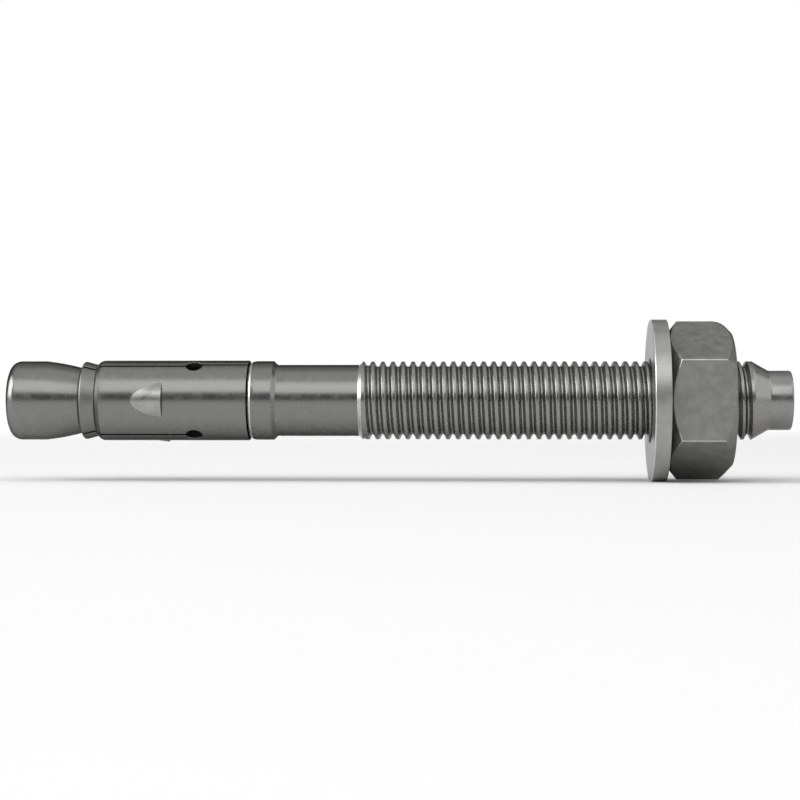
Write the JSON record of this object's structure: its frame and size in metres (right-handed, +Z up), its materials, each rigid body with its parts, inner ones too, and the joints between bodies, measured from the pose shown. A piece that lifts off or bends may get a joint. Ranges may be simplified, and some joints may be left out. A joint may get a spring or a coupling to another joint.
{
  "type": "wedge anchor",
  "caption": "Steel wedge anchor: a threaded stud with a cone at one end, a slotted expansion sleeve behind it, and a washer and hex nut on the thread.",
  "frame": {"origin": "on the stud's axis, in the plane of the washer's clamping face, where the fixture's surface comes", "axes": "+X along the stud from its cone to its threaded end, +Z up with a corner of the nut at the top and a flat of the nut square to -Y"},
  "size_m": [0.0969, 0.02, 0.02],
  "materials": {
    "stud_steel": "satin zinc plate on cold-formed steel",
    "sleeve_steel": "satin zinc plate on rolled sheet",
    "washer_steel": "satin zinc plate, stamped",
    "nut_steel": "dull zinc plate on forged steel"
  },
  "bodies": {
    "stud": {"anchor_bolt": "stud_steel"},
    "sleeve": {"expansion_sleeve": "sleeve_steel"},
    "washer": {"washer": "washer_steel"},
    "nut": {"hex_nut": "nut_steel"}
  },
  "joints": [
    {"name": "sleeve_turn", "type": "hinge", "parent": "stud", "child": "sleeve", "pos_m": [-0.06, 0, 0], "axis": [1, 0, 0], "continuous": true},
    {"name": "washer_slide", "type": "slide", "parent": "stud", "child": "washer", "axis": [1, 0, 0], "range_m": [-0.03375, 0.00937]},
    {"name": "nut_turn", "type": "hinge", "parent": "washer", "child": "nut", "pos_m": [0.006, 0, 0], "axis": [1, 0, 0], "range_deg": [-9720, 2700]}
  ],
  "couplings": [
    {"joint": "nut_turn", "follows": "washer_slide", "rad_per_m": 5026.5}
  ]
}
